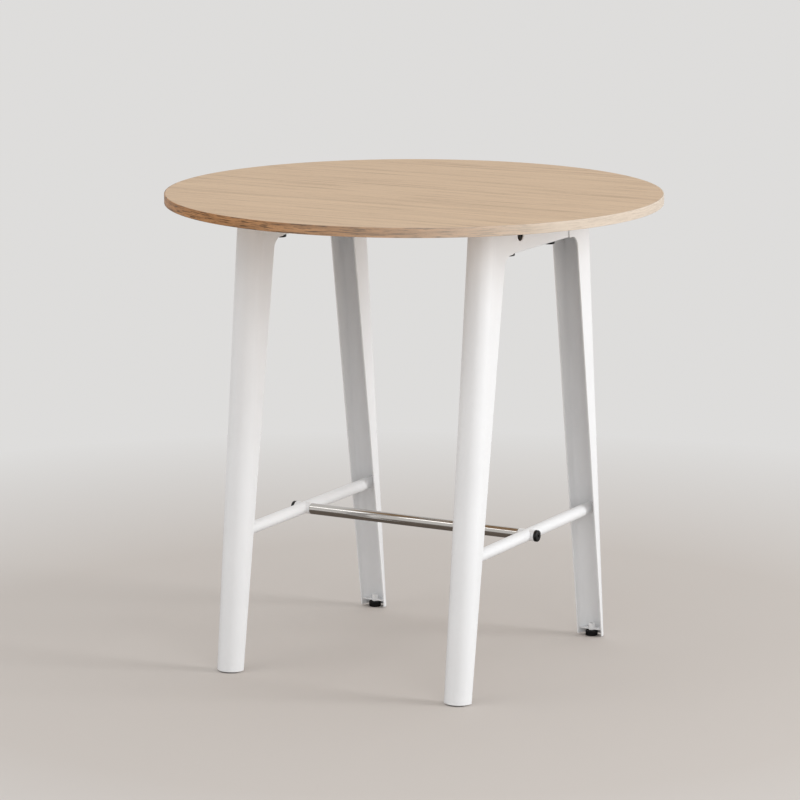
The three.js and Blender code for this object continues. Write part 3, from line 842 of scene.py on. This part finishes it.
class TABLE_OT_feet(bpy.types.Operator):
    """Make the foot plates, nuts, threaded studs and glides"""

    bl_idname = "standing_table.make_feet"
    bl_label = "Levelling feet"

    def execute(self, context):
        steel = settings().steel
        size = settings().screw
        for side, end in CORNERS:
            corner = f"{side}_{end}"
            turn = 0 if end == "rear" else math.pi
            foot = Vector((SIDES[side] * TRESTLE_X, ENDS[end] * FOOT_Y, 0))
            shapes = (
                ("foot_plate", self.plate(steel), "white_coat", "table", "foot_plate"),
                ("foot_nut", self.nut(size), "white_coat", "table", "foot_nut"),
                ("foot_screw", self.stud(size), "zinc_steel", "screw_" + corner, "foot_stud"),
                ("foot_glide", self.glide(size), "black_plastic", "pad_" + corner, "glide"),
            )
            for name, bm, slot, body, node in shapes:
                place(bm, turn=turn, move=foot)
                add_piece(bm, f"{corner}_{name}", finish(slot), [f"{node}_{corner}"], body)
        return {"FINISHED"}

    def plate(self, steel):
        """A round-backed plate welded into the leg, notched for the nut. Its middle is the foot's axis."""
        bm = bmesh.new()
        low = PLATE_LOW.z
        front = PLATE_LOW.y - FOOT_Y
        axis = LEG_HIGH.y - LEG_RADIUS - FOOT_Y - steel.back_lean * (low - LEG_LOW.z)
        radius = LEG_RADIUS - steel.sheet
        across = math.sqrt(radius ** 2 - (front - axis) ** 2)
        sweep = math.pi - 2 * math.asin((front - axis) / radius)
        right = bm.verts.new((across, front, low))
        back = bmesh.ops.spin(
            bm, geom=[right], cent=(0, axis, low), axis=(0, 0, 1), angle=sweep, steps=steel.round_steps * 2)
        left = verts_of(back["geom_last"])[0]
        flat = (NUT_HIGH.y - NUT_LOW.y) / 2
        corner = flat * 2 / math.sqrt(3)
        mouth = corner + front / math.sqrt(3)
        half_notch = ((mouth, front), (corner, 0), (corner / 2, flat))
        notch = [(-x, y) for x, y in half_notch] + list(reversed(half_notch))
        line = [left, *(bm.verts.new((x, y, low)) for x, y in notch), right]
        for pair in zip(line, line[1:]):
            bm.edges.new(pair)
        panel(bm, bm.edges[:], [], (0, 0, -1))
        for face in bm.faces:
            if face.normal.z > 0:
                face.normal_flip()
        thicken(bm, PLATE_HIGH.z - low)
        round_off(bm, sharp_edges(bm, math.radians(70)), steel.sheet_arris / 2, 2)
        return bm

    def nut(self, size):
        """A hex nut about the foot's axis, with its upper corners turned down to a cone."""
        segments = 48
        bm = bmesh.new()
        flats = NUT_HIGH.y - NUT_LOW.y
        crown_radius = flats / 2
        rise = (0, 0, NUT_HIGH.z - NUT_LOW.z)
        outer = hexagon(bm, flats, NUT_LOW.z, segments)
        inner = circle(bm, size.shank + size.play, Matrix.Translation((0, 0, NUT_LOW.z)), segments)
        bmesh.ops.bridge_loops(bm, edges=outer + inner)
        outer_top = pull(bm, outer, move=rise)
        inner_top = pull(bm, inner, move=rise)
        for vert in {vert for edge in outer_top for vert in edge.verts}:
            vert.co.z -= (vert.co.xy.length - crown_radius) * math.tan(math.radians(30))
        crown = circle(bm, crown_radius - size.nut_edge, Matrix.Translation((0, 0, NUT_HIGH.z)), segments)
        bmesh.ops.bridge_loops(bm, edges=outer_top + crown)
        bmesh.ops.bridge_loops(bm, edges=crown + inner_top)
        close_up(bm)
        round_off(bm, sharp_edges(bm), size.nut_edge, 3)
        return bm

    def stud(self, size):
        """The glide's threaded stud with its flange, and one turn of thread for each pitch."""
        core = size.shank - size.thread_depth
        flange = (STUD_HIGH.x - STUD_LOW.x) / 2
        flange_top = STUD_LOW.z + size.stud_flange
        profile = [(0, STUD_LOW.z), (flange, STUD_LOW.z), (flange, flange_top), (core, flange_top),
                   (core, STUD_HIGH.z), (0, STUD_HIGH.z)]
        bm = turned(profile, 48)
        round_off(bm, sharp_edges(bm), size.nut_edge / 2, 2)
        turns = int((STUD_HIGH.z - flange_top) / size.thread_pitch) - 2
        half = size.thread_pitch * 0.44
        base = flange_top + size.thread_pitch
        sink = core - size.thread_depth / 4
        tooth = [bm.verts.new(point) for point in (
            (sink, 0, base - half), (size.shank, 0, base), (sink, 0, base + half))]
        face = bm.faces.new(tooth)
        steps = 24 * turns
        bmesh.ops.spin(
            bm, geom=tooth + list(face.edges) + [face], cent=(0, 0, 0), axis=(0, 0, 1),
            dvec=(0, 0, size.thread_pitch * turns / steps), angle=math.tau * turns, steps=steps)
        close_up(bm)
        return bm

    def glide(self, size):
        """The round black glide, with a pocket that holds the stud's flange."""
        radius = (GLIDE_HIGH.x - GLIDE_LOW.x) / 2
        bore = size.shank + size.play
        pocket = (STUD_HIGH.x - STUD_LOW.x) / 2 + size.play
        pocket_low = STUD_LOW.z - size.play
        pocket_high = STUD_LOW.z + size.stud_flange + size.play
        profile = [(0, GLIDE_LOW.z), (radius, GLIDE_LOW.z), (radius, GLIDE_HIGH.z), (bore, GLIDE_HIGH.z),
                   (bore, pocket_high), (pocket, pocket_high), (pocket, pocket_low), (0, pocket_low)]
        bm = turned(profile, 96)
        rims = [edge for edge in sharp_edges(bm) if all(vert.co.xy.length > pocket * 1.5 for vert in edge.verts)]
        round_off(bm, rims, size.glide_edge, 6)
        return bm


class TABLE_OT_inner_parts(bpy.types.Operator):
    """Give the core board, inserts and plugs, which keep their CAD shapes, their finishes"""

    bl_idname = "standing_table.finish_inner_parts"
    bl_label = "Inner parts"

    def execute(self, context):
        nodes = {"tabletop_core": "core_board", "bar_plug_left": "zinc_steel", "bar_plug_right": "zinc_steel"}
        for side, end in CORNERS:
            nodes[f"threaded_insert_{side}_{end}"] = "zinc_steel"
        for node, slot in nodes.items():
            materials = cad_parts[node].data.materials
            materials.clear()
            materials.append(finish(slot))
        return {"FINISHED"}


class TABLE_OT_stage(bpy.types.Operator):
    """Make the pale floor, the soft lights, the backdrop and the camera"""

    bl_idname = "standing_table.make_stage"
    bl_label = "Stage"

    def execute(self, context):
        stage = settings().stage
        scene = context.scene
        scene.view_settings.view_transform = "Standard"
        self.camera(scene, stage)
        self.backdrop(scene, stage)
        self.floor(scene, stage)
        middle = (CAD_BOX[0] + CAD_BOX[1]) / 2
        key = self.panel_light(scene, "key_light", Vector((6.6, 1.7, 3.0)), middle, 2.5, 5.0, stage.key)
        key.color = stage.key_tint
        self.panel_light(scene, "fill_light", Vector((3.9, -3.9, 2.4)), middle, 3.0, 2.5, stage.fill)
        mirrored_in_bar = Vector((-2.1, -2.2, 3.3))
        under_it = Vector((mirrored_in_bar.x, 0, BAR_AXIS.z))
        self.panel_light(scene, "front_light", mirrored_in_bar, under_it, 2.6, 0.6, stage.front)
        return {"FINISHED"}

    def camera(self, scene, stage):
        """The camera at the photograph's view."""
        data = bpy.data.cameras.new("photo_camera")
        data.lens = stage.lens
        data.sensor_width = 36
        camera = bpy.data.objects.new("photo_camera", data)
        camera.location = stage.camera_place
        camera.rotation_euler = (stage.camera_tilt, 0, stage.camera_turn)
        scene.collection.objects.link(camera)
        scene.camera = camera

    def seen(self, sheet):
        """1 for what the camera, metal and glass see directly, and 0 for the light on the table."""
        path = sheet.add("ShaderNodeLightPath").outputs
        direct = sheet.math("MAXIMUM", path["Is Camera Ray"], path["Is Glossy Ray"])
        return sheet.math("MAXIMUM", direct, path["Is Transmission Ray"])

    def backdrop(self, scene, stage):
        """An even world: pale where it is seen, and the ambient light elsewhere."""
        world = bpy.data.worlds.new("studio")
        world.use_nodes = True
        world.node_tree.nodes.clear()
        sheet = Sheet(world.node_tree)
        light = sheet.add("ShaderNodeBackground", {"Color": (1, 1, 1, 1), "Strength": stage.ambient})
        wall = sheet.add("ShaderNodeBackground", {"Color": rgba(stage.wall), "Strength": 1.0})
        mixed = sheet.add("ShaderNodeMixShader", {0: self.seen(sheet), 1: light.outputs[0], 2: wall.outputs[0]})
        sheet.add("ShaderNodeOutputWorld", {"Surface": mixed.outputs[0]})
        scene.world = world

    def floor(self, scene, stage):
        """A wide disc that fades from the floor's tone into the backdrop's. Near the table, metal mirrors it in a
        darker tone: a painted reflection of shade.
        """
        bm = bmesh.new()
        bmesh.ops.create_circle(bm, cap_ends=True, segments=96, radius=40)
        mesh = bpy.data.meshes.new("studio_floor")
        bm.to_mesh(mesh)
        bm.free()
        material, sheet, shader = new_material("studio_floor")
        distance = sheet.add("ShaderNodeVectorMath", {0: sheet.place()}, operation="LENGTH").outputs["Value"]
        # Painted reflection: for glossy rays the floor within 1.4 m takes the dark tone, fading out by 2.4 m, as if
        # shaded under the table.
        near = sheet.ramp(distance, 1.4, 2.4, 1.0, 0.0)
        painted_reflection_mask = sheet.math("MULTIPLY", near, sheet.add("ShaderNodeLightPath").outputs["Is Glossy Ray"])
        tone = sheet.blend(painted_reflection_mask, rgba(stage.floor), rgba(stage.floor_painted_reflection))
        sheet.tree.links.new(tone, shader.inputs["Base Color"])
        shader.inputs["Roughness"].default_value = 0.85
        far = sheet.math("MULTIPLY", sheet.ramp(distance, 1.1, 2.5), self.seen(sheet))
        far = sheet.math("MULTIPLY", far, sheet.math("SUBTRACT", 1.0, painted_reflection_mask))
        glow = sheet.add("ShaderNodeEmission", {"Color": rgba(stage.wall), "Strength": 1.0})
        output = next(node for node in sheet.tree.nodes if node.type == "OUTPUT_MATERIAL")
        inputs = {0: far, 1: shader.outputs[0], 2: glow.outputs[0]}
        mixed = sheet.add("ShaderNodeMixShader", inputs)
        sheet.tree.links.new(mixed.outputs[0], output.inputs["Surface"])
        mesh.materials.append(material)
        ground = bpy.data.objects.new("studio_floor", mesh)
        scene.collection.objects.link(ground)

    def panel_light(self, scene, name, place_at, facing, width, height, power):
        """A soft rectangular light that faces a point."""
        data = bpy.data.lights.new(name, "AREA")
        data.shape = "RECTANGLE"
        data.size = width
        data.size_y = height
        data.energy = power
        lamp = bpy.data.objects.new(name, data)
        lamp.location = place_at
        lamp.rotation_euler = (facing - place_at).to_track_quat("-Z", "Y").to_euler()
        scene.collection.objects.link(lamp)
        return data


OPERATORS = (
    TABLE_OT_top,
    TABLE_OT_legs,
    TABLE_OT_rails,
    TABLE_OT_stretchers,
    TABLE_OT_bar,
    TABLE_OT_screws,
    TABLE_OT_feet,
    TABLE_OT_inner_parts,
    TABLE_OT_stage,
)


class TABLE_PT_sidebar(bpy.types.Panel):
    """Lists the table's pieces and stage"""

    bl_label = "Standing meeting table"
    bl_idname = "TABLE_PT_sidebar"
    bl_space_type = "VIEW_3D"
    bl_region_type = "UI"
    bl_category = "Table"

    def draw(self, context):
        for operator in OPERATORS:
            self.layout.operator(operator.bl_idname)
        for name, group in (("Top", settings().top), ("Steel", settings().steel), ("Screws", settings().screw),
                            ("Finishes", settings().finish), ("Stage", settings().stage)):
            box = self.layout.box()
            box.label(text=name)
            for key in group.bl_rna.properties.keys():
                if key not in ("rna_type", "name"):
                    box.prop(group, key)


CLASSES = (
    TopSettings, SteelSettings, ScrewSettings, FinishSettings, StageSettings, TableSettings, *OPERATORS,
    TABLE_PT_sidebar)


def register():
    for each in CLASSES:
        bpy.utils.register_class(each)
    bpy.types.Scene.standing_table = PointerProperty(type=TableSettings)


def unregister():
    del bpy.types.Scene.standing_table
    for each in reversed(CLASSES):
        bpy.utils.unregister_class(each)


def main():
    register()
    bpy.ops.standing_table.make_top()
    bpy.ops.standing_table.make_legs()
    bpy.ops.standing_table.make_rails()
    bpy.ops.standing_table.make_stretchers()
    bpy.ops.standing_table.make_bar()
    bpy.ops.standing_table.make_screws()
    bpy.ops.standing_table.make_feet()
    bpy.ops.standing_table.finish_inner_parts()
    bpy.ops.standing_table.make_stage()


if __name__ == "__main__":
    main()
